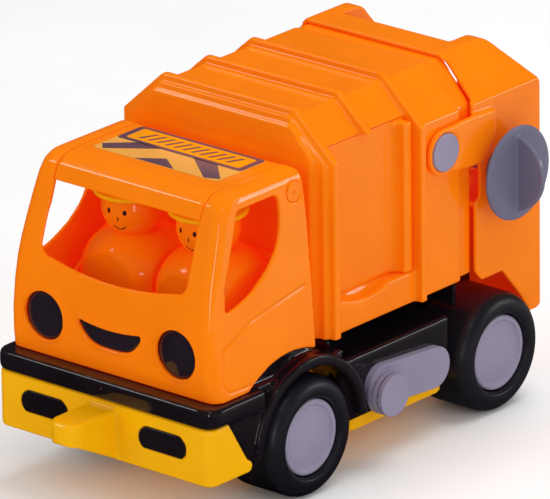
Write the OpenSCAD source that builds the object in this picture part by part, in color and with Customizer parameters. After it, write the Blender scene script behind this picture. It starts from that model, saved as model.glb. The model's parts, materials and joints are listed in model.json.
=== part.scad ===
// Toy refuse truck: a cab with a lift-up roof hatch and two peg figures, a ribbed
// hopper with a swing-up tailgate, and a turning knob that drives a sweeper paddle.
// Millimetres. +Z is up, the truck faces -Y, and +X is the truck's own left side.
// The origin is on the pan's flat underside, below the middle of the front axle.
// Heights in this file are counted from the ground, and from_ground() moves each
// sub-part down to the origin.

/* [Overall] */
// Distance between the two axles
wheelbase = 210; // [206:1:214]
// Thickness of the moulded walls
wall = 3; // [2.4:0.2:3.2]
// Radial gap between a turning pin and its hole
running_gap = 0.05; // [0.03:0.01:0.08]

/* [Wheels] */
// Outer radius of a tyre
tyre_r = 44.4; // [43:0.2:44.6]
// Width of a tyre
tyre_w = 50; // [46:1:51]
// Outer radius of the grey wheel disc
hub_r = 28; // [26:0.5:30]
// Outer face of a wheel, measured from the middle of the truck
wheel_face_x = 99; // [98:0.5:100]
// How far a tyre's side wall bulges past its disc
tyre_bulge = 3; // [1:0.5:4]
// Radius of a steel axle
axle_r = 2.5; // [2:0.1:3]

/* [Bumper] */
// Half width across the bumper
bumper_hw = 100; // [99:0.5:101]
// Front face of the bumper
bumper_y = -109; // [-110:0.5:-108]
// Bottom edge of the bumper
bumper_z0 = 39.5; // [38:0.5:41]
// Top edge of the bumper
bumper_z1 = 82; // [81:0.5:83]
// Front end of the towing tongue
tongue_y = -156; // [-162:1:-150]

/* [Cab] */
// Half width of the cab at its lower edge
cab_hw = 96.8; // [96:0.2:97.4]
// Radius of the cab's upright corners, seen from above
cab_corner_r = 9.5; // [8:0.5:11]
// Height of the cab roof above the ground
cab_top = 241; // [240:0.5:243]
// Height of the middle of the eye openings
eye_z = 128; // [126:0.5:130]
// Radius of an eye opening
eye_r = 18; // [16:0.5:19]
// Half width of the roof hatch
hatch_hw = 67.7; // [65:0.1:68]

/* [Hopper] */
// Half width of the hopper sides
hopper_hw = 92; // [91:0.25:92]
// Height of the hopper roof
hopper_top = 268; // [266:0.5:268]
// Bottom edge of the hopper
hopper_z0 = 108; // [107.6:0.2:109]
// How far a hoop stands proud of the hopper
hoop_h = 5.5; // [4:0.5:6]
// Width of a hoop
hoop_w = 7; // [6:0.5:8]

/* [Tailgate] */
// Half width of the tailgate
tail_hw = 92.5; // [92.5:0.25:93]
// Height of the tailgate roof
tail_top = 270.7; // [270:0.1:272]
// Radius of the grey hinge pin's head
pin_r = 14; // [12:0.5:14.5]

/* [Knob] */
// Radius of the knob's flange
knob_r = 35.3; // [32:0.1:36.5]
// How far the knob's grip stands out from the flange
grip_h = 23; // [18:1:26]
// Reach of the sweeper paddle
paddle_r = 28; // [22:1:28]

/* [Figures] */
// Distance of each figure from the middle of the cab
figure_x = 35; // [34:0.5:36]
// Radius of a figure's head
head_r = 23; // [22:0.5:23]
// Radius of a figure's hat brim
brim_r = 28.8; // [27:0.2:29]

/* [Hidden] */
$fn = 48;

orange = [0.95, 0.5, 0.12];
yellow = [0.95, 0.75, 0.05];
black = [0.12, 0.11, 0.13];
grey = [0.6, 0.58, 0.64];
steel = [0.75, 0.76, 0.78];
slip = 0.3;

wheel_x0 = wheel_face_x - tyre_w;
axle_z = tyre_r;
arch_inner_r = tyre_r + 8;
arch_outer_r = tyre_r + 16;
wheel_gap = 3;
crown_y = -17;
crown_z = 38.5;
crown_r = 75;
fender_x = 101;
spine_hw = 40;
frame_t = 4;
screw_r = 1.7;
screw_head_r = 3.4;

rail_hw = bumper_hw + 2;
rail_y = bumper_y - 2;
rail_z1 = 97;
rail_r = 13;
bumper_r = 8;
deck_z = 97;
skirt_x = 92;
skirt_z1 = 86;
skirt_y0 = 40;
skirt_y1 = wheelbase - tyre_r - 4.1;
deck_y1 = 185;
pan_z = 28.6;
pan_hw = 88;
pan_side_z1 = 38;
hopper_deck_z1 = hopper_z0 - slip;

cab_z0 = 97.3;
cab_back = 9.5;
hinge_y = -1.1;
hinge_z = 226.2;
hinge_pin_r = 4;
pin_head_r = 7.4;
hatch_z0 = 222.8;
hatch_back = 6;
figure_y = -33;
body_y = -27;
plug_r = 20;
head_z = 198.5;
neck_z = 181.3;
brim_z = 208.6;
seat_z = 126;

chamfer_x = 61;
chamfer_z = 238;
hopper_y0 = 25;
hopper_y1 = 176;
collar_y1 = 193.4;
collar_hw = 86.5;
hoop_y = [32, 79, 128];
panel_x = 82;
panel_back_x = panel_x - 3;
panel_y0 = hoop_y[0] + hoop_w / 2;
panel_y1 = hoop_y[2] - hoop_w / 2;
sill_z = 132;
recess_top = 246.5;

tail_y0 = 188.5;
tail_y1 = 266;
pivot_y = 153.2;
pivot_z = 213.8;
pin_shank_r = 7;
arm_x1 = tail_hw + 4.7;
mouth_hw = 50;
mouth_z0 = 168;
mouth_y0 = 215;
knob_y = 218;
knob_z = 183;
knob_face_x = 111.2;
shaft_r = 5;
tank_y0 = 82;
tank_y1 = 140;
tank_r = 15.5;

// Points round a circle's centre, from one angle to another.
function arc(cx, cy, r, a0, a1, n = 8) =
    [for (i = [0:n]) let (a = a0 + (a1 - a0) * i / n) [cx + r * cos(a), cy + r * sin(a)]];
// Points along a cubic curve.
function curve(p, n = 12) =
    [for (i = [0:n]) let (t = i / n, s = 1 - t)
        s * s * s * p[0] + 3 * s * s * t * p[1] + 3 * s * t * t * p[2] + t * t * t * p[3]];

// Moves the child from heights above the ground to heights above the origin.
module from_ground() {
    translate([0, 0, -pan_z]) children();
}
// Extrudes a (Y, Z) outline from x0 to x1.
module along_x(x0, x1) {
    translate([x0, 0, 0]) rotate([90, 0, 90]) linear_extrude(x1 - x0) children();
}
// Extrudes an (X, Z) outline from y0 to y1.
module along_y(y0, y1) {
    translate([0, y1, 0]) rotate([90, 0, 0]) linear_extrude(y1 - y0) children();
}
// Extrudes an (X, Y) outline from z0 to z1.
module along_z(z0, z1) {
    translate([0, 0, z0]) linear_extrude(z1 - z0) children();
}
// The child and its mirror image across the truck.
module both_sides() {
    children();
    mirror([1, 0, 0]) children();
}
module rod_x(r, x0, x1, y, z) {
    translate([x0, y, z]) rotate([0, 90, 0]) cylinder(h = x1 - x0, r = r);
}
module block(x0, x1, y0, y1, z0, z1) {
    translate([x0, y0, z0]) cube([x1 - x0, y1 - y0, z1 - z0]);
}
// Plan of a box with rounded front corners.
module nose_plan(hw, y0, y1, r) {
    translate([-hw, y0 + r]) square([2 * hw, y1 - y0 - r]);
    translate([r - hw, y0]) square([2 * (hw - r), r + 1]);
    for (s = [-1, 1]) translate([s * (hw - r), y0 + r]) circle(r);
}
// Sweeps a (distance, Z) outline round the front of the truck. The distance is
// measured out from the centre of each rounded front corner.
module nose_sweep(hw, y0, y1, r) {
    translate([0, y0 + r, 0]) mirror([0, 1, 0]) along_x(r - hw, hw - r) children();
    both_sides() {
        translate([hw - r, y0 + r, 0]) rotate([0, 0, -90]) rotate_extrude(angle = 90) children();
        translate([hw - r, 0, 0]) along_y(y0 + r, y1) children();
    }
}
// Rounded rectangle from (x0, y0) to (x1, y1).
module soft_rect(x0, y0, x1, y1, r) {
    translate([x0 + r, y0]) square([x1 - x0 - 2 * r, y1 - y0]);
    translate([x0, y0 + r]) square([x1 - x0, y1 - y0 - 2 * r]);
    for (x = [x0 + r, x1 - r]) {
        for (y = [y0 + r, y1 - r]) translate([x, y]) circle(r);
    }
}
// The child at each of the four pan screws.
module at_screws() {
    for (y = [-30, 130]) {
        for (x = [-20, 20]) translate([x, y, 0]) children();
    }
}
// A slot between two points, with round ends.
module slot_shape(p, q, r) {
    length = norm(q - p);
    translate(p) rotate(atan2(q[1] - p[1], q[0] - p[0])) {
        translate([0, -r]) square([length, 2 * r]);
        circle(r);
        translate([length, 0]) circle(r);
    }
}

// ---------------------------------------------------------------- wheels
module tyre_shape() {
    inner_shoulder = 9;
    outer_shoulder = 10;
    groove_r = hub_r + 1;
    barrel_r = hub_r - 6;
    web0 = 18;
    web1 = 24;
    seat_x = tyre_w - 6;
    rotate([0, 90, 0]) rotate_extrude() polygon(concat(
        [[axle_r, 0], [8, 0], [8, web0], [barrel_r, web0], [barrel_r, 0]],
        arc(tyre_r - inner_shoulder, inner_shoulder, inner_shoulder, -90, 0),
        arc(tyre_r - outer_shoulder, tyre_w + tyre_bulge - outer_shoulder, outer_shoulder, 0, 112, 12),
        [[groove_r, tyre_w - 1], [groove_r, seat_x], [barrel_r, seat_x], [barrel_r, web1], [axle_r, web1]]));
}
module hub_shape() {
    barrel_r = hub_r - 6.3;
    dish_r = hub_r - 5;
    rotate([0, 90, 0]) rotate_extrude() polygon(concat(
        [[0, tyre_w - 16], [barrel_r, tyre_w - 16], [barrel_r, tyre_w - 5.7], [hub_r, tyre_w - 5.7],
            [hub_r, tyre_w - 1.2], [hub_r - 1.2, tyre_w], [dish_r + 1.2, tyre_w],
            [dish_r, tyre_w - 2.2]],
        [for (i = [4:-1:0]) [dish_r * i / 5, tyre_w - 0.4 - 1.8 * pow(i / 5, 2)]]));
}
module wheel_at(y, side) {
    translate([0, y, axle_z]) mirror([side < 0 ? 1 : 0, 0, 0]) translate([wheel_x0, 0, 0]) children();
}
module axle_at(y) {
    end_x = wheel_x0 + 26;
    rod_x(axle_r, -end_x, end_x, y, axle_z);
}
module tyre_front_left() color(black) from_ground() wheel_at(0, 1) tyre_shape();
module tyre_front_right() color(black) from_ground() wheel_at(0, -1) tyre_shape();
module tyre_rear_left() color(black) from_ground() wheel_at(wheelbase, 1) tyre_shape();
module tyre_rear_right() color(black) from_ground() wheel_at(wheelbase, -1) tyre_shape();
module hub_front_left() color(grey) from_ground() wheel_at(0, 1) hub_shape();
module hub_front_right() color(grey) from_ground() wheel_at(0, -1) hub_shape();
module hub_rear_left() color(grey) from_ground() wheel_at(wheelbase, 1) hub_shape();
module hub_rear_right() color(grey) from_ground() wheel_at(wheelbase, -1) hub_shape();
module front_axle() color(steel) from_ground() axle_at(0);
module rear_axle() color(steel) from_ground() axle_at(wheelbase);

// ---------------------------------------------------------------- chassis
// Side outline of the bumper's yellow end, in (Y, Z).
module bumper_end() {
    polygon([[tongue_y, bumper_z0 - 1], [-67, bumper_z0 - 1], [-63.5, bumper_z0 + 4], [-65, 47],
        [-69.5, 50], [-89, bumper_z1 + 0.5], [tongue_y, bumper_z1 + 0.5]]);
}
module wheel_arch() {
    difference() {
        union() {
            // Rounded outer band
            along_x(62, fender_x) intersection() {
                translate([0, axle_z]) circle(arch_outer_r);
                translate([-arch_outer_r, axle_z]) square([2 * arch_outer_r, arch_outer_r]);
            }
            // Taller inner crown, under the cab's arch
            along_x(60, 90) intersection() {
                translate([crown_y, crown_z]) circle(crown_r - 1);
                translate([-66, deck_z - 10]) square([100, 40]);
            }
            // Panel between the bumper's end and the wheel
            along_x(62, 97) polygon([[-88.6, bumper_z1], [-69, 50.6], [-64.5, 47.5], [-62, 43.5], [-50, 43.5],
                [-50, 90], [-88.6, 90]]);
        }
        along_x(58, fender_x + 1) translate([0, axle_z]) circle(arch_inner_r);
    }
}
module rail_profile() soft_rect(rail_r - 9, bumper_z1, rail_r, rail_z1, 4);
module chassis_frame() color(black) from_ground() {
    post_r = 6;
    deck_hw = 80;
    difference() {
        union() {
            nose_sweep(rail_hw, rail_y, -52, rail_r) rail_profile();
            // Deck under the cab
            along_z(deck_z - 5, deck_z) nose_plan(rail_hw - 8, rail_y + 8, 42, rail_r - 8);
            both_sides() wheel_arch();
            // Spine: a channel, open below, with an ear on each side for each axle
            along_y(-50, wheelbase + 40) difference() {
                translate([-spine_hw, 62]) square([2 * spine_hw, 35]);
                translate([frame_t - spine_hw, 61]) square([2 * (spine_hw - frame_t), 36 - frame_t]);
            }
            both_sides() along_x(spine_hw - 12, spine_hw) for (y = [0, wheelbase]) {
                translate([y - 12, axle_z]) square([24, 50]);
                translate([y, axle_z]) circle(12);
            }
            // Skirts and the low deck between the wheels
            along_y(skirt_y0, skirt_y1) difference() {
                soft_rect(-skirt_x, pan_side_z1 + slip, skirt_x, skirt_z1, 3);
                translate([-skirt_x + 4, 0]) square([2 * skirt_x - 8, skirt_z1 - 4]);
            }
            both_sides() {
                block(spine_hw - 1, skirt_x - 1, skirt_y1 - frame_t, skirt_y1, pan_side_z1 + 4, skirt_z1 - 1);
            }
            // Deck that carries the hopper, on two cross walls
            block(-deck_hw, deck_hw, skirt_y0, deck_y1, hopper_deck_z1 - frame_t, hopper_deck_z1);
            for (y = [skirt_y0, deck_y1 - frame_t]) {
                block(-deck_hw, deck_hw, y, y + frame_t, skirt_z1 - 2, hopper_deck_z1);
            }
            both_sides() block(spine_hw - frame_t, spine_hw, skirt_y0, deck_y1, 90, hopper_deck_z1);
            // Liner behind each front wheel
            both_sides() block(spine_hw + 1, spine_hw + frame_t, -60, 61, axle_z + 8, deck_z - 1);
            both_sides() block(spine_hw - 1, spine_hw + frame_t, -60, 61, deck_z - frame_t, deck_z - 1);
            // Posts for the pan screws
            at_screws() translate([0, 0, pan_z + wall + slip]) cylinder(h = 62, r = post_r);
        }
        for (y = [0, wheelbase]) rod_x(axle_r + running_gap, -spine_hw - 1, spine_hw + 1, y, axle_z);
        at_screws() translate([0, 0, pan_z]) cylinder(h = 24, r = screw_r + 0.1);
        // Room for the front wheels
        both_sides() rod_x(tyre_r + wheel_gap, wheel_x0 - 3, skirt_x + 1, 0, axle_z);
    }
}
module tongue() {
    half = 13;
    root = bumper_y + 3;
    tip = tongue_y + half;
    flare = 6;
    top = 78;
    tip_z = 61.5;
    intersection() {
        along_z(bumper_z0, top) difference() {
            union() {
                translate([0, tip]) circle(half);
                translate([-half, tip]) square([2 * half, root - tip]);
                translate([-half - flare, root - flare]) square([2 * (half + flare), flare + 1]);
            }
            for (s = [-1, 1]) translate([s * (half + flare), root - flare]) circle(flare);
        }
        // Deep at the root and thin at the tip
        along_x(-60, 60) polygon([[root + 1, top], [tongue_y + 3, top], [tongue_y, top - 3],
            [tongue_y, tip_z + 3], [tongue_y + 3, tip_z], [tip - 5, tip_z - 1], [root - 3, bumper_z0 + 1],
            [root + 1, bumper_z0]]);
    }
}
module pan_outline() {
    nose_plan(44, -70, wheelbase + 25, 8);
    soft_rect(-pan_hw, 54, pan_hw, skirt_y1 - 2, 6);
}
module chassis_pan() color(yellow) from_ground() {
    difference() {
        union() {
            // Bumper: curved wall with a floor
            intersection() {
                union() {
                    nose_sweep(bumper_hw, bumper_y, -62, bumper_r) {
                        soft_rect(bumper_r - 4, bumper_z0, bumper_r, bumper_z1, 1.6);
                    }
                    along_z(bumper_z0, bumper_z0 + wall) {
                        nose_plan(bumper_hw - 1, bumper_y + 1, -62, bumper_r - 1);
                    }
                }
                along_x(-bumper_hw - 1, bumper_hw + 1) bumper_end();
            }
            tongue();
            block(-44, 44, -70, -66, pan_z, bumper_z0 + 1);
            along_z(pan_z, pan_z + wall) pan_outline();
            // Side walls of the wide middle
            along_z(pan_z, pan_side_z1) difference() {
                soft_rect(-pan_hw, 54, pan_hw, skirt_y1 - 2, 6);
                soft_rect(-pan_hw + wall, 54 + wall, pan_hw - wall, skirt_y1 - 2 - wall, 3);
            }
        }
        // Slots for the black inserts
        both_sides() along_y(bumper_y - 1, bumper_y + 5) lamp_slot(0.15);
        at_screws() translate([0, 0, pan_z - 1]) {
            cylinder(h = 20, r = screw_r + slip);
            cylinder(h = 2.4, r = screw_head_r + slip);
        }
    }
}
module lamp_slot(gap) {
    translate([55, 63.3]) difference() {
        slot_shape([-13, 0], [13, 0], 8.8 + gap);
        translate([-40, -30]) square([80, 30 - 7.6 - gap]);
    }
}
module bumper_inserts() color(black) from_ground() both_sides() {
    along_y(bumper_y - 0.6, bumper_y + 4.5) lamp_slot(0);
}
module pan_screws() color(steel) from_ground() at_screws() translate([0, 0, pan_z - 0.6]) difference() {
    union() {
        cylinder(h = 2, r = screw_head_r);
        cylinder(h = 20, r = screw_r);
    }
    for (a = [0, 90]) rotate([0, 0, a]) translate([-2, -0.4, -1]) cube([4, 0.8, 2]);
}
module tank_shape() {
    stack_y = 80;
    stack_z = 54;
    difference() {
        union() {
            along_x(skirt_x - 2, 97.5) slot_shape([tank_y0, 58.5], [tank_y1, 54], tank_r);
            // Stack of three discs with two grooves
            for (x = [97.5, 102, 107]) rod_x(tank_r, x - 1, x + 2.5, stack_y, stack_z);
            rod_x(tank_r - 3, 97, 109, stack_y, stack_z);
            block(97, 108, stack_y - tank_r, stack_y + tank_r, stack_z - 0.8, stack_z + 0.8);
        }
        // The skirt fills this space
        block(0, skirt_x + slip / 10, 40, 170, 30, 80);
    }
}
module tank_left() color(grey) from_ground() tank_shape();
module tank_right() color(grey) from_ground() mirror([1, 0, 0]) tank_shape();

// ---------------------------------------------------------------- cab
// Levels of the cab: height, front face and how far the sides draw in.
cab_levels = [[cab_z0, -98, 0], [112, -99.8, 0.6], [128, -100.8, 1.6], [150, -100, 3.2], [166, -98, 4.4],
    [180, -94.8, 5.6], [196, -89.6, 6.8], [212, -84.3, 8.4], [226, -79.6, 10.2],
    [cab_top - 7.5, -75.5, 11.6], [cab_top - 3, -70, 13.6], [cab_top - 0.8, -63, 17.2], [cab_top, -54, 22.4]];
// Half width of the cab at a height.
function cab_side(z) = cab_hw - lookup(z, [for (k = cab_levels) [k[0], k[2]]]);
// Outline of one level of the cab, counter-clockwise from above. The roof's rear edge is rounded too.
function cab_ring(k, inset) =
    let (hw = cab_hw - k[2] - inset, r = cab_corner_r - inset, y0 = k[1] + inset,
        y1 = cab_back - inset - max(0, k[2] - 10.2) / 4, z = k[0] > 200 ? k[0] - inset : k[0])
    [for (p = concat([[-hw, y1]], arc(r - hw, y0 + r, r, 180, 270, 6),
        arc(hw - r, y0 + r, r, 270, 360, 6), [[hw, y1]])) [p[0], p[1], z]];
// Solid skinned over a stack of rings that have the same number of points.
module skin(rings) {
    n = len(rings[0]);
    top = n * (len(rings) - 1);
    polyhedron(
        points = [for (ring = rings, p = ring) p],
        faces = concat(
            [[for (j = [0:n - 1]) j], [for (j = [n - 1:-1:0]) top + j]],
            [for (i = [0:len(rings) - 2], j = [0:n - 1])
                [n * i + j, n * (i + 1) + j, n * (i + 1) + (j + 1) % n]],
            [for (i = [0:len(rings) - 2], j = [0:n - 1])
                [n * i + j, n * (i + 1) + (j + 1) % n, n * i + (j + 1) % n]]));
}
module cab_solid(inset) {
    skin([for (k = cab_levels) cab_ring(k, inset)]);
}
module cab_wall() {
    difference() {
        cab_solid(0);
        translate([0, 0, -0.02]) cab_solid(wall);
    }
}
module hatch_zone(gap) {
    block(-hatch_hw - gap, hatch_hw + gap, -110, hatch_back + gap, hatch_z0 - gap, cab_top + 5);
}
// Side window outline, in (Y, Z).
module side_window() {
    polygon(concat(curve([[-17.5, 217], [-18, 186], [-44, 166.5], [-78.4, 160.4]]),
        arc(-79.6, 163.2, 2.8, 260, 180, 4), [[-81.5, 178]], arc(-58, 224.2, 5, 160, 90, 4),
        arc(-22.5, 224.2, 5, 90, 0, 4)));
}
module windscreen() {
    half = 68;
    polygon(concat(arc(-half + 9, 180.5, 9, 180, 250, 6), [for (x = [-54:6:54]) [x, 165 + x * x / 520]],
        arc(half - 9, 180.5, 9, 290, 360, 6), [[half - 1, hatch_z0 + 4], [1 - half, hatch_z0 + 4]]));
}
module mouth() {
    half = 29;
    polygon(concat(
        [for (i = [-10:10]) let (t = i / 10) [half * t, 117 + 2 * pow(t, 2) + 12 * pow(t, 4)]],
        [for (i = [10:-1:-10]) let (t = i / 10) [half * t, 131 + 3 * pow(t, 2)]]));
}
module cab_shell() color(orange) from_ground() {
    hinge_x = cab_side(hinge_z);
    slot_hw = hatch_hw + 0.4;
    difference() {
        union() {
            cab_wall();
            // Bosses round the hatch pins, inside the walls
            both_sides() rod_x(pin_head_r + 0.8, 70, hinge_x - 2.4, hinge_y, hinge_z);
        }
        hatch_zone(0.4);
        // The hatch's rear edge swings down through here
        block(-slot_hw, slot_hw, 2, cab_back + 1, hinge_z + 4, cab_top + 5);
        along_y(-115, -50) windscreen();
        both_sides() {
            along_x(55, 120) side_window();
            along_y(-110, -85) translate([61.5, eye_z]) circle(eye_r);
            rod_x(hinge_pin_r, 60, 100, hinge_y, hinge_z);
            rod_x(pin_head_r + slip, hinge_x - 2.4, 100, hinge_y, hinge_z);
        }
        along_y(-110, -85) mouth();
        // Openings over the front wheels
        along_x(-120, 120) translate([crown_y, crown_z]) circle(crown_r);
    }
}
module face_insert() color(black) from_ground() {
    back = -97.8 + wall;
    both_sides() along_y(back - 2.4, back + 4) translate([61.5, eye_z]) circle(eye_r - slip);
    along_y(back + 1, back + 4) soft_rect(-82, 101, 82, 152, 8);
}
module seat_insert() color(orange) from_ground() {
    tub_hw = 76;
    difference() {
        union() {
            // Seat block and backrest
            block(-tub_hw, tub_hw, -80, 6, 114.8, seat_z);
            along_y(0, 4) soft_rect(-tub_hw, 116, tub_hw, 174.5, 6);
            both_sides() along_x(tub_hw - wall, tub_hw) {
                polygon([[1, 173], [-18, 170], [-48, 148], [-78, seat_z - 1], [1, seat_z - 1]]);
            }
            both_sides() block(48, 60, -70, -60, deck_z, 116);
            both_sides() block(30, 60, 0, 6, deck_z, 116);
        }
        // Pockets for the figures
        both_sides() translate([figure_x, body_y, seat_z - 7]) cylinder(h = 10, r = plug_r + slip);
        // Clear of the wheel arch's crown
        both_sides() along_x(59, 91) translate([crown_y, crown_z]) circle(crown_r + 1);
    }
}
module hatch_pins() color(orange) from_ground() {
    head_x0 = cab_side(hinge_z) - 2.35;
    head_x1 = cab_side(hinge_z) + 0.2;
    both_sides() difference() {
        union() {
            rod_x(hinge_pin_r, 58, head_x1 - 1, hinge_y, hinge_z);
            rod_x(pin_head_r, head_x0, head_x1, hinge_y, hinge_z);
        }
        rod_x(1.4, head_x1 - 0.8, head_x1 + 1, hinge_y, hinge_z);
    }
}
module roof_hatch() color(orange) from_ground() {
    ear_x0 = 60;
    ear_x1 = 66;
    difference() {
        union() {
            difference() {
                intersection() {
                    cab_wall();
                    hatch_zone(0);
                }
                // Flat underneath at the rear, so that it clears the cab's rear wall
                block(-hatch_hw - 1, hatch_hw + 1, 0, hatch_back + 1, hatch_z0 - 1, cab_top - wall);
            }
            // Ears that turn on the hatch pins
            both_sides() along_x(ear_x0, ear_x1) difference() {
                union() {
                    translate([hinge_y, hinge_z]) circle(7);
                    translate([hinge_y - 7, hinge_z]) square([7.5, cab_top - hinge_z - 2]);
                }
            }
        }
        both_sides() rod_x(hinge_pin_r + running_gap, ear_x0 - 1, ear_x1 + 1, hinge_y, hinge_z);
    }
}
module roof_sticker() color(yellow) from_ground() {
    along_z(cab_top, cab_top + 0.4) soft_rect(-58, -50, 58, 4, 4);
}

// ---------------------------------------------------------------- figures
// Domed body with flat sides, standing on a round plug. The dome's middle is behind the neck.
module figure_body() {
    half_w = 33;
    front = -62;
    back = -1;
    top_r = 18;
    base_z = seat_z + 0.2;
    translate([0, body_y, seat_z - 6.8]) cylinder(h = 8, r = plug_r);
    intersection() {
        translate([0, body_y, 0]) rotate_extrude() polygon(concat([[0, base_z], [42, base_z]],
            curve([[42, 150], [42, 168], [28, 178], [top_r, neck_z]], 10), [[0, neck_z]]));
        block(-half_w, half_w, front, back, base_z, neck_z + 1);
    }
}
module figure_head() {
    bottom_z = neck_z + 0.2;
    top_z = brim_z - 0.2;
    rotate_extrude() polygon(concat([[0, bottom_z]],
        arc(0, head_z, head_r, asin((bottom_z - head_z) / head_r), asin((top_z - head_z) / head_r), 10),
        [[0, top_z]]));
}
module figure_hat() {
    edge_r = 2;
    crown_r = 25;
    crown_base = 28;
    rotate_extrude() polygon(concat([[0, brim_z], [20, brim_z]],
        arc(brim_r - edge_r, brim_z + edge_r, edge_r, -90, 90, 5), arc(0, 201, crown_r, crown_base, 90, 8)));
}
module place_body(side) {
    translate([side * figure_x, 0, 0]) children();
}
module place_head(side) {
    translate([side * figure_x, figure_y, 0]) children();
}
module driver_body() color(orange) from_ground() place_body(1) figure_body();
module driver_head() color(orange) from_ground() place_head(1) figure_head();
module driver_hat() color(yellow) from_ground() place_head(1) figure_hat();
module mate_body() color(orange) from_ground() place_body(-1) figure_body();
module mate_head() color(orange) from_ground() place_head(-1) figure_head();
module mate_hat() color(yellow) from_ground() place_head(-1) figure_hat();

// ---------------------------------------------------------------- hopper
// Section across the hopper, in (X, Z).
module hopper_section(hw, top, shoulder, z0 = hopper_z0) {
    polygon([[-hw, z0], [hw, z0], [hw, shoulder], [chamfer_x, top], [-chamfer_x, top], [-hw, shoulder]]);
}
module hoop(y) {
    along_y(y - hoop_w / 2, y + hoop_w / 2) difference() {
        hopper_section(hopper_hw + 6, hopper_top + hoop_h, chamfer_z + 2);
        hopper_section(hopper_hw - 1, hopper_top - 1, chamfer_z - 1, hopper_z0 - 1);
    }
}
module hopper_shell() color(orange) from_ground() {
    difference() {
        union() {
            along_y(hopper_y0, hopper_y1) hopper_section(hopper_hw, hopper_top, chamfer_z);
            along_y(hopper_y0, collar_y1) hopper_section(collar_hw, hopper_top - 1, chamfer_z - 1);
            // Raised panel on the front wall, bevelled towards the first hoop
            intersection() {
                along_y(21, hopper_y0 + 6) hopper_section(88, 266.5, 237.5);
                along_x(-100, 100) {
                    polygon([[21, hopper_z0], [21, 262], [29, 268], [32, 268], [32, hopper_z0]]);
                }
                along_z(100, 280) polygon([[-82, 21], [82, 21], [90, 29], [90, 32], [-90, 32], [-90, 29]]);
            }
            hoop(hoop_y[0]);
            hoop(hoop_y[2]);
            // The middle hoop crosses the roof and the shoulders only
            intersection() {
                hoop(hoop_y[1]);
                along_y(0, 150) polygon([[-120, 242], [120, 242], [120, 290], [-120, 290]]);
            }
        }
        // Recess for the side panel
        both_sides() {
            block(panel_back_x, 120, panel_y0, panel_y1, sill_z, recess_top);
            // Dip in the sill where a finger reaches under the panel
            intersection() {
                rod_x(60, panel_x, 120, 71, sill_z + 55);
                block(panel_x - 1, 121, panel_y0, panel_y1, hopper_z0, recess_top);
            }
        }
        // Bin space, open to the rear
        along_y(hopper_y0 + wall, hopper_y1 - wall) {
            hopper_section(panel_back_x - wall, hopper_top - wall, chamfer_z + 12, hopper_z0 + wall);
        }
        block(wall - hopper_hw, hopper_hw - wall, hopper_y0 + wall, hopper_y1 - wall,
            hopper_z0 + wall, sill_z - 9);
        along_y(panel_y1 + wall, hopper_y1 - wall) {
            hopper_section(hopper_hw - wall, hopper_top - wall, chamfer_z - 1, hopper_z0 + wall);
        }
        along_y(hopper_y1 - wall - 1, collar_y1 + 1) {
            hopper_section(collar_hw - wall, hopper_top - wall - 1, chamfer_z - 2, hopper_z0 + wall);
        }
        both_sides() rod_x(pin_shank_r, 70, 100, pivot_y, pivot_z);
    }
}
module side_panel_shape() {
    bar_y0 = 113;
    bar_y1 = 122;
    cove_r = 8;
    x0 = panel_back_x + slip / 3;
    block(x0, panel_x, panel_y0 + slip, panel_y1 - slip, sill_z + slip, recess_top - slip);
    // Upright bar with a coved root
    along_z(sill_z + slip, recess_top - 1.5) difference() {
        translate([x0, bar_y0 - cove_r]) square([hopper_hw - x0, bar_y1 - bar_y0 + cove_r]);
        translate([panel_x + cove_r, bar_y0 - cove_r]) circle(cove_r);
        translate([panel_x + cove_r, bar_y0 - 2 * cove_r]) square([20, 2 * cove_r]);
    }
}
module side_panel_left() color(orange) from_ground() side_panel_shape();
module side_panel_right() color(orange) from_ground() mirror([1, 0, 0]) side_panel_shape();
module tailgate_pins() color(grey) from_ground() both_sides() {
    rod_x(pin_r, hopper_hw + 0.4, arm_x1 + 0.8, pivot_y, pivot_z);
    rod_x(pin_shank_r - running_gap, hopper_hw - wall - 4, hopper_hw + 1, pivot_y, pivot_z);
    rod_x(pin_shank_r + 2, hopper_hw - wall - 4, hopper_hw - wall - slip, pivot_y, pivot_z);
}

// ---------------------------------------------------------------- tailgate
// Side outline of the tailgate, in (Y, Z), drawn in by t.
module tail_side(t) {
    roof = tail_top - t;
    back = tail_y1 - t;
    bend = 14;
    // Below the notch the front edge steps back
    lower_y0 = tail_y0 + 3.5;
    polygon(concat([[tail_y0, 163], [lower_y0, 163], [lower_y0, 110], [lower_y0 + 3, 106.6],
        [lower_y0 + 7, 102.4 + t / 2], [222.5, 102.3 + t / 2],
        [243.5, 77], [253, 62.4]], arc(back - 4, 66.4, 4, -90, 0, 4), arc(back - bend, 232, bend, 0, 33, 4),
        arc(back - 35, roof - bend, bend, 40, 90, 5), [[tail_y0, roof]]));
}
module tail_section(t) {
    polygon([[t - tail_hw, 50], [tail_hw - t, 50], [tail_hw - t, chamfer_z - t / 2],
        [63 - t / 2, tail_top - t], [t / 2 - 63, tail_top - t], [t - tail_hw, chamfer_z - t / 2]]);
}
module tail_solid(t) {
    intersection() {
        along_x(-tail_hw + t, tail_hw - t) tail_side(t);
        along_y(100, 300) tail_section(t);
    }
}
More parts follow.
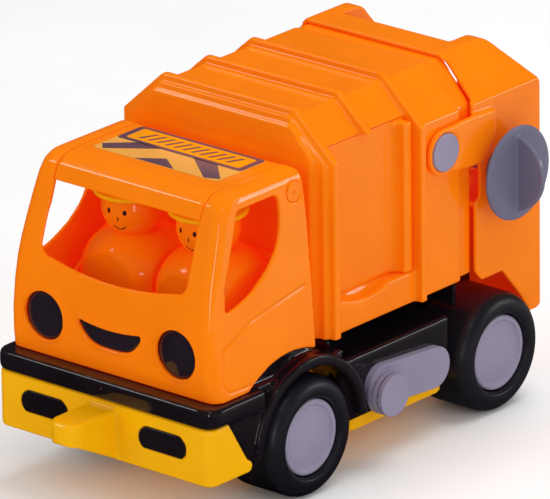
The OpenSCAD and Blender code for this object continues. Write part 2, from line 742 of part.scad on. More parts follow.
// Outline of a hinge arm, in (Y, Z).
module arm_outline() {
    ring_r = pin_r + 3.4;
    translate([pivot_y, pivot_z]) circle(ring_r);
    polygon([[pivot_y + 1, pivot_z + ring_r - 0.1], [186, pivot_z + 18], [210.7, 230.3], [210.7, 212.8],
        [202, 198], [196, 193.3], [pivot_y + 3, pivot_z - ring_r + 0.4]]);
}
module tailgate_shell() color(orange) from_ground() {
    difference() {
        union() {
            difference() {
                tail_solid(0);
                intersection() {
                    tail_solid(wall);
                    block(-100, 100, tail_y0 - 1, 300, 50, 300);
                }
                // Open front, and the notch beside each arm
                block(-tail_hw + wall, tail_hw - wall, tail_y0 - 1, tail_y0 + wall, 50, 266);
                along_x(-100, 100) soft_rect(180, 163, 197.5, 194, 7);
                // Open underside
                along_x(-tail_hw + wall, tail_hw - wall) {
                    polygon([[180, 110], [198, 106], [224, 106], [245, 77], [256, 60], [tail_y1 - wall, 55],
                        [180, 55]]);
                }
                // Loading mouth at the back and through the rear of the roof
                block(-mouth_hw, mouth_hw, mouth_y0, 280, mouth_z0, 300);
            }
            both_sides() along_x(tail_hw - 0.01, arm_x1) arm_outline();
            // Cheeks beside the loading mouth, clear of the shaft
            both_sides() difference() {
                intersection() {
                    block(mouth_hw, mouth_hw + wall, mouth_y0 + 7, tail_y1, mouth_z0, tail_top);
                    tail_solid(1);
                }
                rod_x(shaft_r + 1, mouth_hw - 1, mouth_hw + wall + 1, knob_y, knob_z);
            }
            // Bosses for the knob's shaft
            both_sides() rod_x(shaft_r + 4, tail_hw - 10, tail_hw - 1, knob_y, knob_z);
        }
        rod_x(shaft_r + running_gap, -100, 100, knob_y, knob_z);
        both_sides() rod_x(pin_r + running_gap, tail_hw - 5, 110, pivot_y, pivot_z);
    }
}
module tailgate_tray() color(orange) from_ground() {
    tray_r = paddle_r + 3;
    along_x(-tail_hw + wall, tail_hw - wall) {
        intersection() {
            translate([knob_y, knob_z]) difference() {
                circle(tray_r + 2.5);
                circle(tray_r);
            }
            translate([knob_y - 23.5, 130]) square([48, 36]);
        }
        translate([knob_y + 22, 163.4]) square([tail_y1 - wall - knob_y - 22, 2.5]);
    }
}
module knob() color(grey) from_ground() {
    flange = 3;
    rim_r = 1.5;
    grip_t = 4.6;
    grip_sink = 6;
    difference() {
        union() {
            translate([0, knob_y, knob_z]) rotate([0, 90, 0]) rotate_extrude() polygon(concat(
                [[0, knob_face_x - flange]], arc(knob_r - rim_r, knob_face_x - rim_r, rim_r, -90, 90, 6),
                [[0, knob_face_x]]));
            rod_x(16, tail_hw + slip, knob_face_x - 1, knob_y, knob_z);
            // Half-round grip across the flange
            along_y(knob_y - grip_t / 2, knob_y + grip_t / 2) difference() {
                translate([knob_face_x - grip_sink, knob_z]) circle(grip_h + grip_sink);
                translate([0, knob_z - 50]) square([knob_face_x - 2, 100]);
            }
        }
        rod_x(shaft_r, tail_hw - 1, knob_face_x - 4, knob_y, knob_z);
    }
}
module knob_shaft() color(grey) from_ground() rod_x(shaft_r, -tail_hw - 5, knob_face_x - 4, knob_y, knob_z);
module paddle() color(grey) from_ground() {
    blade_hw = mouth_hw - 1.5;
    difference() {
        union() {
            rod_x(shaft_r + 3, -blade_hw, blade_hw, knob_y, knob_z);
            for (a = [90, 210, 330]) translate([0, knob_y, knob_z]) rotate([a, 0, 0]) {
                block(-blade_hw, blade_hw, -1.5, 1.5, 4, paddle_r);
            }
        }
        rod_x(shaft_r, -100, 100, knob_y, knob_z);
    }
}
module shaft_cap() color(grey) from_ground() difference() {
    rod_x(10, -tail_hw - 7, -tail_hw - slip, knob_y, knob_z);
    rod_x(shaft_r, -tail_hw - 5, -tail_hw + 1, knob_y, knob_z);
}

chassis_frame();
chassis_pan();
bumper_inserts();
pan_screws();
tank_left();
tank_right();
front_axle();
tyre_front_left();
tyre_front_right();
hub_front_left();
hub_front_right();
rear_axle();
tyre_rear_left();
tyre_rear_right();
hub_rear_left();
hub_rear_right();
cab_shell();
face_insert();
seat_insert();
hatch_pins();
roof_hatch();
roof_sticker();
driver_body();
driver_head();
driver_hat();
mate_body();
mate_head();
mate_hat();
hopper_shell();
side_panel_left();
side_panel_right();
tailgate_pins();
tailgate_shell();
tailgate_tray();
knob();
knob_shaft();
paddle();
shaft_cap();
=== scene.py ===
import json
import math

import bmesh
import bpy
import numpy as np
from mathutils import Matrix, Vector


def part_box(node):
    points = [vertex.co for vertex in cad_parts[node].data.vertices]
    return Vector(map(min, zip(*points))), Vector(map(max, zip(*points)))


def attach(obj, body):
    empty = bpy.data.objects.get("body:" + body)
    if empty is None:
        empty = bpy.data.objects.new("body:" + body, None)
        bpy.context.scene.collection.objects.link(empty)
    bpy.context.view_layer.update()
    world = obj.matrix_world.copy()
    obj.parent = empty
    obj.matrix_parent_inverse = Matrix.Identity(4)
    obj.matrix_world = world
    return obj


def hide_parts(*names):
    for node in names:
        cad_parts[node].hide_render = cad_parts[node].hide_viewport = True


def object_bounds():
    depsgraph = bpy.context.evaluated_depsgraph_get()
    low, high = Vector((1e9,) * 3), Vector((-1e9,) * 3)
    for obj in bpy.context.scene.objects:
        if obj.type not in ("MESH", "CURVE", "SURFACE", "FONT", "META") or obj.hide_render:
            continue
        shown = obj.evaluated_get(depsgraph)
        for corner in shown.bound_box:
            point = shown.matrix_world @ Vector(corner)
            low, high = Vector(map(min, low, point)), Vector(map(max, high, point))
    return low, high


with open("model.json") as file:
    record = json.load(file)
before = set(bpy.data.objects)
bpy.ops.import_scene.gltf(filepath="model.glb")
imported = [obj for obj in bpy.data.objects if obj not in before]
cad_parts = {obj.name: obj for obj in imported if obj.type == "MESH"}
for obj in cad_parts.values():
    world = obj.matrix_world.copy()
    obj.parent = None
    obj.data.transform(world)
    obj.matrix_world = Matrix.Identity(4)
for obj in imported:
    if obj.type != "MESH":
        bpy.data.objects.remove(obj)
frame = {"nodes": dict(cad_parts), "record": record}
cad_low, cad_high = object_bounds()
nodes = frame["nodes"]
scene = bpy.context.scene
MM = 0.001
GROUND = cad_low[2]      # the tyres stand here

# ------------------------------------------------------------------ materials

# Noise cells per metre: pigment clouds, gloss scuffs, slight waviness, fine grain, lines along a drawn rod
CLOUD_SCALE = 18
SCUFF_SCALE = 220
SKIN_SCALE = 90
GRAIN_SCALE = 1600
ROD_LINE_SCALE = 900
# Depth of the fine grain, and the radius that softens every moulded edge in the shading
GRAIN = 0.02 * MM
SOFT_EDGE = 0.5 * MM


def linear(r, g, b):
    """An sRGB colour in 0-255 as linear RGBA."""
    def one(c):
        c /= 255
        return c / 12.92 if c <= 0.04045 else ((c + 0.055) / 1.055) ** 2.4
    return (one(r), one(g), one(b), 1.0)


class Nodes:
    """Short calls for building one material's node tree."""

    def __init__(self, name):
        self.material = bpy.data.materials.new(name)
        self.material.use_nodes = True
        self.tree = self.material.node_tree
        self.tree.nodes.clear()
        self.output = self.add("ShaderNodeOutputMaterial")
        self.coords = self.add("ShaderNodeTexCoord").outputs["Object"]

    def add(self, kind, **settings):
        node = self.tree.nodes.new(kind)
        for key, value in settings.items():
            setattr(node, key, value)
        return node

    def link(self, a, b):
        self.tree.links.new(a, b)

    def noise(self, scale, detail=2.0, stretch=None):
        vector = self.coords
        if stretch:
            mapping = self.add("ShaderNodeMapping")
            mapping.inputs["Scale"].default_value = stretch
            self.link(vector, mapping.inputs["Vector"])
            vector = mapping.outputs["Vector"]
        tex = self.add("ShaderNodeTexNoise")
        tex.inputs["Scale"].default_value = scale
        tex.inputs["Detail"].default_value = detail
        self.link(vector, tex.inputs["Vector"])
        return tex.outputs["Fac"]

    def remap(self, value, low, high, start=0.3, end=0.7):
        node = self.add("ShaderNodeMapRange")
        node.inputs["From Min"].default_value = start
        node.inputs["From Max"].default_value = end
        node.inputs["To Min"].default_value = low
        node.inputs["To Max"].default_value = high
        self.link(value, node.inputs["Value"])
        return node.outputs["Result"]

    def math(self, operation, *values):
        node = self.add("ShaderNodeMath", operation=operation)
        for slot, value in zip(node.inputs, values):
            if isinstance(value, (int, float)):
                slot.default_value = value
            else:
                self.link(value, slot)
        return node.outputs[0]

    def mix(self, factor, a, b):
        node = self.add("ShaderNodeMix", data_type="RGBA")
        self.link(factor, node.inputs["Factor"])
        node.inputs[6].default_value = a
        node.inputs[7].default_value = b
        return node.outputs[2]

    def bump(self, height, distance, normal=None):
        node = self.add("ShaderNodeBump")
        node.inputs["Strength"].default_value = 1.0
        node.inputs["Distance"].default_value = distance
        self.link(height, node.inputs["Height"])
        if normal:
            self.link(normal, node.inputs["Normal"])
        return node.outputs["Normal"]


def plastic(name, dark, light, rough, grain=GRAIN, painted_glow=None):
    """Moulded plastic: cloudy pigment, fine surface grain, light scuffing in the gloss, softened edges,
    and for a translucent pigment a painted glow: emission that lifts its shaded parts toward deep red."""
    n = Nodes(name)
    shader = n.add("ShaderNodeBsdfPrincipled")
    cloud = n.noise(CLOUD_SCALE, 3)
    n.link(n.mix(n.remap(cloud, 0, 1), dark, light), shader.inputs["Base Color"])
    scuffs = n.noise(SCUFF_SCALE, 4, stretch=(1.0, 0.25, 1.6))
    n.link(n.remap(scuffs, *rough), shader.inputs["Roughness"])
    soft = n.add("ShaderNodeBevel", samples=3)
    soft.inputs["Radius"].default_value = SOFT_EDGE
    skin = n.bump(n.noise(SKIN_SCALE, 2), 4 * grain, normal=soft.outputs["Normal"])
    n.link(n.bump(n.noise(GRAIN_SCALE, 2), grain, normal=skin), shader.inputs["Normal"])
    # Painted glow: the part emits light though it is no lamp, so its shade turns deep red instead of dark
    if painted_glow:
        shader.inputs["Emission Color"].default_value = (*painted_glow, 1.0)
        shader.inputs["Emission Strength"].default_value = 1.0
    n.link(shader.outputs["BSDF"], n.output.inputs["Surface"])
    return n.material


def metal(name, colour, rough):
    """Drawn steel rod: fine lines along the rod in the gloss and the bump."""
    n = Nodes(name)
    shader = n.add("ShaderNodeBsdfPrincipled")
    shader.inputs["Base Color"].default_value = colour
    shader.inputs["Metallic"].default_value = 1.0
    lines = n.noise(ROD_LINE_SCALE, 2, stretch=(0.02, 1.0, 1.0))
    n.link(n.remap(lines, rough - 0.08, rough + 0.08), shader.inputs["Roughness"])
    n.link(n.bump(lines, GRAIN / 2), shader.inputs["Normal"])
    n.link(shader.outputs["BSDF"], n.output.inputs["Surface"])
    return n.material


# Pigments run from their darkest to their lightest cloud, as linear RGBA
# The orange and yellow carry a painted glow that lifts their shaded parts toward red
ORANGE = plastic("orange_plastic", (0.60, 0.195, 0.0015, 1), (0.66, 0.215, 0.002, 1), rough=(0.07, 0.13),
                 painted_glow=(0.30, 0.005, 0.0006))
YELLOW = plastic("yellow_plastic", (0.72, 0.36, 0.0015, 1), (0.78, 0.40, 0.002, 1), rough=(0.1, 0.17),
                 painted_glow=(0.12, 0.04, 0.0))
BLACK = plastic("black_plastic", (0.006, 0.004, 0.006, 1), (0.010, 0.007, 0.010, 1), rough=(0.07, 0.13))
GREY = plastic("grey_plastic", (0.255, 0.228, 0.33, 1), (0.285, 0.255, 0.36, 1), rough=(0.3, 0.38))
# A darker copy of the grey plastic: painted shade for the knob
KNOB_SHADED_GREY = plastic("knob_grey_painted_shade", (0.135, 0.125, 0.188, 1), (0.155, 0.144, 0.212, 1), rough=(0.16, 0.24))
TYRE = plastic("tyre_plastic", (0.007, 0.006, 0.010, 1), (0.012, 0.010, 0.015, 1), rough=(0.32, 0.42),
               grain=2 * GRAIN)
GLOSS = plastic("eye_plastic", (0.012, 0.008, 0.012, 1), (0.018, 0.012, 0.018, 1), rough=(0.05, 0.1),
                grain=GRAIN / 4)
STEEL = metal("axle_steel", linear(200, 202, 206), 0.3)
AMBER = plastic("sticker_amber", linear(228, 158, 66), linear(236, 168, 78), rough=(0.12, 0.18),
                grain=0.4 * GRAIN)
PLATE = plastic("sticker_plate", linear(240, 148, 8), linear(246, 158, 16), rough=(0.12, 0.18),
                grain=0.4 * GRAIN)
INK = plastic("sticker_ink", linear(92, 66, 78), linear(104, 76, 88), rough=(0.12, 0.2), grain=0.4 * GRAIN)
PRINT = plastic("face_ink", (0.05, 0.003, 0.002, 1), (0.07, 0.004, 0.003, 1), rough=(0.3, 0.4),
                grain=GRAIN / 4)

SLOT_MATERIAL = {"orange_plastic": ORANGE, "yellow_plastic": YELLOW, "black_plastic": BLACK,
                 "grey_plastic": GREY, "tyre_plastic": TYRE, "sticker_film": AMBER, "axle_steel": STEEL}
# The knob gets a darker copy of the grey plastic, which paints shade onto it
OWN_MATERIAL = {"knob": KNOB_SHADED_GREY}
record = frame["record"]
node_slot = {sub["node"]: sub["material_slot"] for sub in record["subparts"]}
node_body = {name: body for body, names in record["behaviour"]["bodies"].items() for name in names}


def node_material(name):
    return OWN_MATERIAL.get(name, SLOT_MATERIAL[node_slot[name]])


# ------------------------------------------------------------------ pieces

# Gap that a weld closes, and in degrees the angle that still counts as flat and the one that is an edge
WELD_GAP = 0.02 * MM
FLAT_ANGLE = 0.5
SHARP_ANGLE = 28


def paint(obj, material):
    obj.data.materials.clear()
    obj.data.materials.append(material)
    for poly in obj.data.polygons:
        poly.material_index = 0


def smooth_faces(mesh):
    mesh.polygons.foreach_set("use_smooth", [True] * len(mesh.polygons))


def weight_normals(obj):
    normals = obj.modifiers.new("normals", "WEIGHTED_NORMAL")
    normals.keep_sharp = False
    normals.weight = 80


def weld_seams(obj):
    weld = obj.modifiers.new("weld", "WELD")
    weld.merge_threshold = WELD_GAP


def moulded(obj, radius):
    """Rounds a CAD node's edges as a mould would, without touching its mesh."""
    weld_seams(obj)
    flat = obj.modifiers.new("flat", "DECIMATE")
    flat.decimate_type = "DISSOLVE"
    flat.angle_limit = math.radians(FLAT_ANGLE)
    bevel = obj.modifiers.new("edges", "BEVEL")
    bevel.width = radius
    bevel.segments = 3
    bevel.limit_method = "ANGLE"
    bevel.angle_limit = math.radians(SHARP_ANGLE)
    bevel.harden_normals = False
    bevel.use_clamp_overlap = True
    smooth_faces(obj.data)
    weight_normals(obj)


def piece(name, mesh, body, material):
    """A new object that rides on a body and takes a material slot's finish."""
    obj = bpy.data.objects.new(name, mesh)
    scene.collection.objects.link(obj)
    paint(obj, material)
    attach(obj, body)
    return obj


def to_data(mesh, name):
    """The built mesh as Blender data, with every face turned outward."""
    bmesh.ops.recalc_face_normals(mesh, faces=mesh.faces)
    data = bpy.data.meshes.new(name)
    mesh.to_mesh(data)
    mesh.free()
    return data


def join_rings(mesh, a, b):
    """A band of quads between two rings of as many points."""
    for i in range(len(a)):
        j = (i + 1) % len(a)
        mesh.faces.new((a[i], a[j], b[j], b[i]))


# ------------------------------------------------------------------ moulded shells


def near_line(points, line, closed=False):
    """Distance of each 2D point from a polyline."""
    ends = line[1:] + ([line[0]] if closed else [])
    best = np.full(len(points), 1e9)
    for a, b in zip(line, ends):
        a, b = np.array(a, float), np.array(b, float)
        d = b - a
        t = np.clip((points - a) @ d / max(d @ d, 1e-12), 0, 1)
        best = np.minimum(best, np.linalg.norm(points - a - t[:, None] * d, axis=1))
    return best


# Triangles that a finished shell keeps
SHELL_FACES = 90000


def shell(name, voxel, rounds, shape=None):
    """A rounded copy of a CAD node: remeshed fine, smoothed, then shaped in millimetres above the ground."""
    source = nodes[name]
    rough = bpy.data.objects.new("rough", source.data.copy())
    scene.collection.objects.link(rough)
    weld_seams(rough)
    remesh = rough.modifiers.new("remesh", "REMESH")
    remesh.mode = "VOXEL"
    remesh.voxel_size = voxel * MM
    even = rough.modifiers.new("even", "SMOOTH")
    even.factor = 0.5
    even.iterations = rounds
    bpy.context.view_layer.update()
    mesh = bpy.data.meshes.new_from_object(rough.evaluated_get(bpy.context.evaluated_depsgraph_get()))
    bpy.data.objects.remove(rough)
    if shape:
        co = np.empty(len(mesh.vertices) * 3)
        mesh.vertices.foreach_get("co", co)
        co = co.reshape(-1, 3) / MM
        co[:, 2] -= GROUND / MM
        normal = np.empty(len(mesh.vertices) * 3)
        mesh.vertices.foreach_get("normal", normal)
        co = shape(co, normal.reshape(-1, 3))
        co[:, 2] += GROUND / MM
        mesh.vertices.foreach_set("co", (co * MM).ravel())
        mesh.update()
    smooth_faces(mesh)
    mesh.name = name + "_moulded"
    obj = piece(name + "_moulded", mesh, node_body[name], node_material(name))
    triangles = 2 * len(mesh.polygons)
    thin = obj.modifiers.new("thin", "DECIMATE")
    thin.ratio = min(1.0, SHELL_FACES / triangles)
    weight_normals(obj)
    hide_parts(name)


def ridge(distance, width):
    """Height of a rounded ridge, 1 on its line and fading to 0 about two widths away."""
    return np.exp(-(distance / width) ** 2)


# Line sunk into each side of the cab, and the crease along the windscreen pillar, in (Y, Z) above the ground
CAB_GROOVE = [(1.9, 157.4), (-58.6, 147.4), (-87.7, 134.5), (-90, 109), (-83.2, 102.6), (-60.6, 101.8)]
GROOVE_DEPTH, GROOVE_WIDTH = 0.9, 0.9
CAB_CREASE = [(-51.4, 239.8), (-65.1, 234.9), (-72.9, 224.9), (-82.8, 193), (-88, 168)]
CREASE_HEIGHT, CREASE_WIDTH = 0.45, 1.2
# The cab's flanks lie beyond this X, its pillars above this Z, and its front before this Y
FLANK_X, PILLAR_Z, FRONT_Y = 80, 166, -90
# The raised lip round an opening, and how far outside the eye and mouth openings it runs
LIP_HEIGHT, LIP_WIDTH = 1.1, 1.1
EYE_LIP, MOUTH_LIP = 1.2, 1.3
# The eye openings' places and radius, and half the mouth's width
EYE_X, EYE_Z, EYE_R = 61.5, 128.0, 18.0
MOUTH_HALF = 29
# The mouth's lower edge, then its upper edge back again, each from a curve in t = -1 to 1
MOUTH_STEPS = [k / 10 for k in range(-10, 11)]
MOUTH = ([(MOUTH_HALF * t, 117 + 2 * t ** 2 + 12 * t ** 4) for t in MOUTH_STEPS]
         + [(MOUTH_HALF * t, 131 + 3 * t ** 2) for t in MOUTH_STEPS[::-1]])


def shape_cab(co, normal):
    """Adds the cab's sunk lines, pillar creases and the lips round its eyes and mouth."""
    side = np.abs(normal[:, 0]) > 0.8
    outward = np.sign(co[:, 0])
    outside = side & (np.abs(co[:, 0]) > FLANK_X) & (outward == np.sign(normal[:, 0]))
    flat = co[:, 1:]
    groove = GROOVE_DEPTH * ridge(near_line(flat, CAB_GROOVE), GROOVE_WIDTH)
    co[:, 0] -= np.where(outside, outward * groove, 0)
    front = (normal[:, 1] < -0.6) & (co[:, 1] < FRONT_Y)
    face = co[:, [0, 2]]
    for x in (-EYE_X, EYE_X):
        r = np.hypot(face[:, 0] - x, face[:, 1] - EYE_Z)
        co[:, 1] -= np.where(front, LIP_HEIGHT * ridge(r - EYE_R - EYE_LIP, LIP_WIDTH), 0)
    lip = near_line(face, MOUTH, closed=True)
    co[:, 1] -= np.where(front, LIP_HEIGHT * ridge(lip - MOUTH_LIP, LIP_WIDTH), 0)
    pillar = outside & (co[:, 2] > PILLAR_Z)
    crease = CREASE_HEIGHT * ridge(near_line(flat, CAB_CREASE), CREASE_WIDTH)
    co[:, 0] += np.where(pillar, outward * crease, 0)
    return co


# Voxel in millimetres, rounds of smoothing, and what is pressed into the shell
SHELLS = {"cab_shell": (0.9, 5, shape_cab), "roof_hatch": (1.0, 5), "hopper_shell": (1.4, 5),
          "side_panel_left": (1.2, 4), "side_panel_right": (1.2, 4), "tailgate_shell": (1.3, 5),
          "chassis_frame": (1.3, 4), "chassis_pan": (1.1, 4), "knob": (0.9, 3),
          "driver_body": (1.2, 5), "mate_body": (1.2, 5)}
# Edge radius of the nodes that stay as they are
EDGE_RADIUS = {"seat_insert": 1.0}
PLAIN_RADIUS = 0.8
for name in node_slot:
    if name in SHELLS:
        shell(name, *SHELLS[name])
    else:
        paint(nodes[name], node_material(name))
        moulded(nodes[name], EDGE_RADIUS.get(name, PLAIN_RADIUS) * MM)

# ------------------------------------------------------------------ figures' printed faces

# The printed ink stands this far out of the head and reaches this far into it
INK_LIFT, INK_SINK = 0.15 * MM, 0.3 * MM
# Height of a head's middle above the ground
HEAD_Z = 198.5


def from_degrees(azimuth, elevation):
    """The direction at this azimuth from the front and this elevation, in degrees."""
    a, e = math.radians(azimuth), math.radians(elevation)
    return Vector((math.sin(a) * math.cos(e), -math.cos(a) * math.cos(e), math.sin(e)))


def head_patch(centre, radius, turn, tilt, outline):
    """A thin printed patch that hugs a head. Outline points are degrees right and up of its middle."""
    mesh = bmesh.new()

    def spot(point, out):
        return mesh.verts.new(centre + (radius + out) * from_degrees(turn + point[0], tilt + point[1]))

    rim_out = [spot(p, INK_LIFT) for p in outline]
    rim_in = [spot(p, -INK_SINK) for p in outline]
    middle = [sum(p[k] for p in outline) / len(outline) for k in (0, 1)]
    top = spot(middle, INK_LIFT)
    base = spot(middle, -INK_SINK)
    for i in range(len(outline)):
        j = (i + 1) % len(outline)
        mesh.faces.new((rim_out[i], rim_out[j], top))
        mesh.faces.new((rim_in[j], rim_in[i], base))
    join_rings(mesh, rim_in, rim_out)
    return mesh


def merge(name, parts):
    """One mesh of several closed parts."""
    whole = bmesh.new()
    for part in parts:
        scrap = to_data(part, "scrap")
        whole.from_mesh(scrap)
        bpy.data.meshes.remove(scrap)
    mesh = bpy.data.meshes.new(name)
    whole.to_mesh(mesh)
    whole.free()
    return mesh


def oval(rx, ry):
    n = 20
    turns = [2 * math.pi * i / n for i in range(n)]
    return [(rx * math.cos(a), ry * math.sin(a)) for a in turns]


def stroke_cells(points, half):
    """A bent line as a chain of short four-sided cells that overlap a little, in degrees."""
    overlap = 0.08
    cells = []
    for a, b in zip(points, points[1:]):
        along = Vector(b) - Vector(a)
        start = Vector(a) - overlap * along
        end = Vector(b) + overlap * along
        across = half * Vector((-along.y, along.x)).normalized()
        cells.append([start + across, start - across, end - across, end + across])
    return cells


def print_face(head, body, turn):
    """Two oval eyes, a bent nose stroke and a smile. All the numbers here are degrees on the head."""
    low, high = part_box(head)
    centre = Vector(((low.x + high.x) / 2, (low.y + high.y) / 2, GROUND + HEAD_Z * MM))
    radius = (high.x - low.x) / 2
    eye_turn, eye_tilt = 16.5, 3
    nose_tilt = -10
    stroke_half = 1.2
    parts = [head_patch(centre, radius, turn + side * eye_turn, eye_tilt, oval(3.7, 4.9)) for side in (-1, 1)]
    nose = [(2.8, 3.4), (3.6, 0), (2.2, -3.6)]
    smile = [(3 + 12.5 * t / 4, -33 + 7.5 * (t / 4) ** 2) for t in range(-4, 5)]
    for line, tilt in ((nose, nose_tilt), (smile, 0)):
        for cell in stroke_cells(line, stroke_half):
            parts.append(head_patch(centre, radius, turn, tilt, cell))
    piece(head + "_print", merge(head + "_print", parts), body, PRINT)


print_face("driver_head", "driver", -1)
print_face("mate_head", "mate", 9)

# ------------------------------------------------------------------ eyes, mouth and the rail's moulding mark

# Where the eye domes' rims lie, how much smaller than their openings they are, and how far they bulge
EYE_Y, EYE_GAP, EYE_RISE = -98.2, 0.5, 2.6
# A dome's foot lies this far behind its rim
DOME_FOOT = 2.5 * MM
# The mouth pad's back, front edge and crowned middle in Y, and the share of the opening that they fill
MOUTH_LEVELS = [(-94.5, 0.985), (-98.4, 0.985), (-99.0, 0.9)]
# Moulding mark on the rail's front: how far behind the truck's front, how high, its radius and rise
NUB_BEHIND, NUB_Z, NUB_R, NUB_RISE = 45.3, 92.5, 2.6, 1.0


def dome(name, x, y, z, radius, rise, material):
    """A shallow convex lens that faces -Y and rides on the chassis."""
    rings, spokes = 8, 40
    mesh = bmesh.new()

    def ring(r, depth):
        turns = [2 * math.pi * i / spokes for i in range(spokes)]
        return [mesh.verts.new((x + r * math.cos(a), y - depth, z + r * math.sin(a))) for a in turns]

    levels = [ring(radius, -DOME_FOOT)]
    for k in range(rings):
        t = 1 - k / rings
        levels.append(ring(radius * t, rise * (1 - t * t)))
    for a, b in zip(levels, levels[1:]):
        join_rings(mesh, a, b)
    tip = mesh.verts.new((x, y - rise, z))
    foot = mesh.verts.new((x, y + DOME_FOOT, z))
    for i in range(spokes):
        j = (i + 1) % spokes
        mesh.faces.new((levels[-1][i], levels[-1][j], tip))
        mesh.faces.new((levels[0][j], levels[0][i], foot))
    data = to_data(mesh, name)
    smooth_faces(data)
    piece(name, data, "chassis", material)


def mouth_pad():
    """The black pad that fills the mouth opening, nearly flush with the cab."""
    mesh = bmesh.new()
    centre_z = sum(z for x, z in MOUTH) / len(MOUTH)

    def loop(y, grow):
        return [mesh.verts.new((x * grow * MM, y * MM, GROUND + (centre_z + (z - centre_z) * grow) * MM))
                for x, z in MOUTH[:-1]]

    back, front, crown = (loop(*level) for level in MOUTH_LEVELS)
    mesh.faces.new(back[::-1])
    mesh.faces.new(crown)
    join_rings(mesh, back, front)
    join_rings(mesh, front, crown)
    piece("mouth", to_data(mesh, "mouth"), "chassis", GLOSS)


for side, sign in (("left", 1), ("right", -1)):
    dome("eye_" + side, sign * EYE_X * MM, EYE_Y * MM, GROUND + EYE_Z * MM, (EYE_R - EYE_GAP) * MM,
         EYE_RISE * MM, GLOSS)
mouth_pad()
dome("rail_nub", 0, cad_low.y + NUB_BEHIND * MM, GROUND + NUB_Z * MM, NUB_R * MM, NUB_RISE * MM, BLACK)

# ------------------------------------------------------------------ roof sticker


def prism(outline, z0, z1):
    mesh = bmesh.new()
    low = [mesh.verts.new((x * MM, y * MM, z0)) for x, y in outline]
    high = [mesh.verts.new((x * MM, y * MM, z1)) for x, y in outline]
    mesh.faces.new(high)
    mesh.faces.new(low[::-1])
    join_rings(mesh, low, high)
    return mesh


def arc_points(cx, cy, r, a0, a1, n):
    turns = [math.radians(a0 + (a1 - a0) * i / n) for i in range(n + 1)]
    return [(cx + r * math.cos(a), cy + r * math.sin(a)) for a in turns]


def soft_box(x0, y0, x1, y1, r):
    """A rectangle's outline with rounded corners."""
    return (arc_points(x0 + r, y0 + r, r, 180, 270, 5) + arc_points(x1 - r, y0 + r, r, 270, 360, 5)
            + arc_points(x1 - r, y1 - r, r, 0, 90, 5) + arc_points(x0 + r, y1 - r, r, 90, 180, 5))


# Bare film round the sticker's print, and how far ahead of the print's rear edge the amber plate starts
STICKER_MARGIN = 0.4
PLATE_DEPTH = 24
# Hatching strokes on the plate: how far apart, how wide and how far they lean
STROKE_STEP, STROKE_WIDTH, STROKE_LEAN = 8, 3, 6
# How far the layers of print stand out of the film, and how far they reach into it
DARK_LIFT, PLATE_LIFT, STROKE_LIFT, PRINT_SINK = 0.10, 0.16, 0.20, 0.1


def print_sticker():
    """A dark band with a hatched amber plate, and ahead of it two slanted stripes and a chevron.
    The outlines are in millimetres, most of them inward from the print's corners."""
    low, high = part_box("roof_sticker")
    x0, x1 = low.x / MM + STICKER_MARGIN, high.x / MM - STICKER_MARGIN
    y0, y1 = low.y / MM + STICKER_MARGIN, high.y / MM - STICKER_MARGIN
    plate_y = y1 - PLATE_DEPTH
    stripe_y = plate_y - 3
    band = soft_box(x0, plate_y - 4, x1, y1, 3)
    left_stripe = [(x0 + 1, y0 + 9), (x0 + 8, y0 + 1.5), (x0 + 42, stripe_y), (x0 + 20, stripe_y)]
    right_stripe = [(x1 - 12, y0), (x1 - 1, y0 + 5), (x1 - 22, stripe_y), (x1 - 44, stripe_y)]
    chevron = [(-19, y0), (18, y0), (0, y0 + 13)]
    plate = soft_box(x0 + 5, plate_y, x1 - 5, y1 - 3.5, 2.5)
    strokes = []
    for x in range(-44, 38, STROKE_STEP):
        foot, head = x, x + STROKE_LEAN
        strokes.append([(foot, plate_y + 4), (foot + STROKE_WIDTH, plate_y + 4),
                        (head + STROKE_WIDTH, y1 - 7.5), (head, y1 - 7.5)])
    layers = [("dark", INK, DARK_LIFT, [band, left_stripe, right_stripe, chevron]),
              ("plate", PLATE, PLATE_LIFT, [plate]),
              ("hatching", INK, STROKE_LIFT, strokes)]
    for name, material, lift, shapes in layers:
        parts = [prism(s, high.z - PRINT_SINK * MM, high.z + lift * MM) for s in shapes]
        piece("sticker_" + name, merge("sticker_" + name, parts), "hatch", material)


print_sticker()

# ------------------------------------------------------------------ camera, light, floor

# The camera's direction from what it looks at in degrees, its distance, its target in millimetres above the
# ground, and a lens and sensor in millimetres
CAMERA_AZIMUTH, CAMERA_ELEVATION, CAMERA_ROLL = 40.68, 20.63, -0.75
CAMERA_DISTANCE = 6.34
CAMERA_TARGET = (-30.84, 114.48, 121.68)
LENS, SENSOR = 577, 36


def view_axes(azimuth, elevation, roll):
    """(right, up, back) of a camera that looks back from this direction, in degrees."""
    a, r = math.radians(azimuth), math.radians(roll)
    back = from_degrees(azimuth, elevation)
    right = Vector((math.cos(a), math.sin(a), 0))
    up = back.cross(right)
    return right * math.cos(r) + up * math.sin(r), up * math.cos(r) - right * math.sin(r), back


def make_camera():
    data = bpy.data.cameras.new("camera")
    data.sensor_width = SENSOR
    data.lens = LENS
    data.clip_end = 50
    camera = bpy.data.objects.new("camera", data)
    scene.collection.objects.link(camera)
    right, up, back = view_axes(CAMERA_AZIMUTH, CAMERA_ELEVATION, CAMERA_ROLL)
    target = Vector(CAMERA_TARGET) * MM + Vector((0, 0, GROUND))
    turn = Matrix((right, up, back)).transposed().to_4x4()
    camera.matrix_world = Matrix.Translation(target + back * CAMERA_DISTANCE) @ turn
    scene.camera = camera


# Half the floor's side. In reflections the floor brightens from 0 to PALE_STRENGTH between these two distances
# in metres, counted along X plus Y
FLOOR_HALF = 6.0
PALE_START, PALE_END, PALE_STRENGTH = 0.2, 1.2, 0.4
# What the lights are aimed at, and the white sky's strength as light and in reflections
LIT_CENTRE = Vector((0, 0.08, GROUND + 0.12))
SKY_LIGHT, SKY_SHINE = 0.62, 0.03
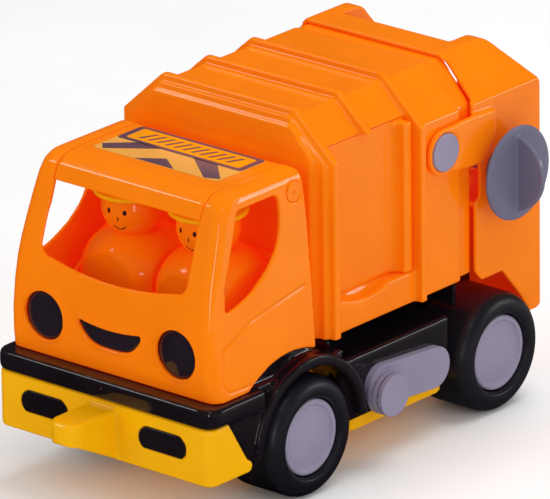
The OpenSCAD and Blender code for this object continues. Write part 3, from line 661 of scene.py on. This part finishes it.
# Lights by name: place, size and watts
LAMPS = [("top_box", (0.2, 0.7, 1.9), (1.6, 1.2), 20),
         ("left_box", (1.9, -0.6, 0.9), (1.2, 1.4), 11),
         ("front_box", (-0.7, -1.9, 0.9), (1.4, 1.0), 9)]
# Highlights by name: direction from the truck, size and watts
SHINES = [("pillar_shine", (0.64, -0.74, 0.06), (0.22, 1.1), 4.0),
          ("edge_shine", (-0.6, -0.38, 0.7), (0.4, 0.3), 2.2),
          ("shoulder_shine", (0.63, 0.71, 0.22), (0.9, 0.3), 4.5),
          ("top_shine", (0.45, -0.35, 0.82), (0.3, 0.5), 1.8)]
SHINE_DISTANCE = 2.2


def softbox(name, location, size, power, shine):
    """A rectangular light aimed at the truck. With shine it shows only in reflections, else it lights."""
    data = bpy.data.lights.new(name, "AREA")
    data.shape = "RECTANGLE"
    data.size, data.size_y = size
    data.energy = power
    light = bpy.data.objects.new(name, data)
    scene.collection.objects.link(light)
    light.location = location
    light.rotation_euler = (LIT_CENTRE - Vector(location)).to_track_quat("-Z", "Y").to_euler()
    light.visible_glossy = shine
    light.visible_diffuse = not shine
    light.visible_camera = False


def make_floor():
    mesh = bpy.data.meshes.new("floor")
    corners = [(-1, -1), (1, -1), (1, 1), (-1, 1)]
    mesh.from_pydata([(x * FLOOR_HALF, y * FLOOR_HALF, GROUND) for x, y in corners], [], [(0, 1, 2, 3)])
    floor = bpy.data.objects.new("floor", mesh)
    scene.collection.objects.link(floor)
    n = Nodes("floor_paper")
    shader = n.add("ShaderNodeBsdfPrincipled")
    clouds = n.remap(n.noise(6, 3), 0, 1)
    n.link(n.mix(clouds, linear(246, 246, 246), linear(250, 250, 250)), shader.inputs["Base Color"])
    shader.inputs["Roughness"].default_value = 0.9
    shader.inputs["Specular IOR Level"].default_value = 0.1
    # Only reflections see this: paper that is dark in front of the truck and pale to its left and rear
    split = n.add("ShaderNodeSeparateXYZ")
    n.link(n.coords, split.inputs["Vector"])
    across = n.math("ADD", split.outputs["X"], split.outputs["Y"])
    painted_glow = n.add("ShaderNodeEmission")
    n.link(n.remap(across, 0.0, PALE_STRENGTH, start=PALE_START, end=PALE_END), painted_glow.inputs["Strength"])
    choose = n.add("ShaderNodeMixShader")
    path = n.add("ShaderNodeLightPath")
    n.link(path.outputs["Is Glossy Ray"], choose.inputs["Fac"])
    n.link(shader.outputs["BSDF"], choose.inputs[1])
    n.link(painted_glow.outputs["Emission"], choose.inputs[2])
    n.link(choose.outputs["Shader"], n.output.inputs["Surface"])
    paint(floor, n.material)


def make_world():
    """A white sky that lights softly, is seen as white and hardly shows in reflections."""
    world = bpy.data.worlds.new("studio")
    world.use_nodes = True
    tree = world.node_tree
    background = tree.nodes["Background"]
    path = tree.nodes.new("ShaderNodeLightPath")
    glossy = tree.nodes.new("ShaderNodeMapRange")
    glossy.inputs["To Min"].default_value = SKY_LIGHT
    glossy.inputs["To Max"].default_value = SKY_SHINE
    tree.links.new(path.outputs["Is Glossy Ray"], glossy.inputs["Value"])
    seen = tree.nodes.new("ShaderNodeMath")
    seen.operation = "MAXIMUM"
    tree.links.new(glossy.outputs["Result"], seen.inputs[0])
    tree.links.new(path.outputs["Is Camera Ray"], seen.inputs[1])
    tree.links.new(seen.outputs[0], background.inputs["Strength"])
    background.inputs["Color"].default_value = (1.0, 1.0, 1.0, 1.0)
    scene.world = world


def make_lights():
    for name, location, size, power in LAMPS:
        softbox(name, location, size, power, shine=False)
    for name, toward, size, power in SHINES:
        softbox(name, LIT_CENTRE + Vector(toward) * SHINE_DISTANCE, size, power, shine=True)


make_floor()
make_camera()
make_world()
make_lights()
scene.view_settings.view_transform = "Standard"
scene.cycles.use_denoising = True
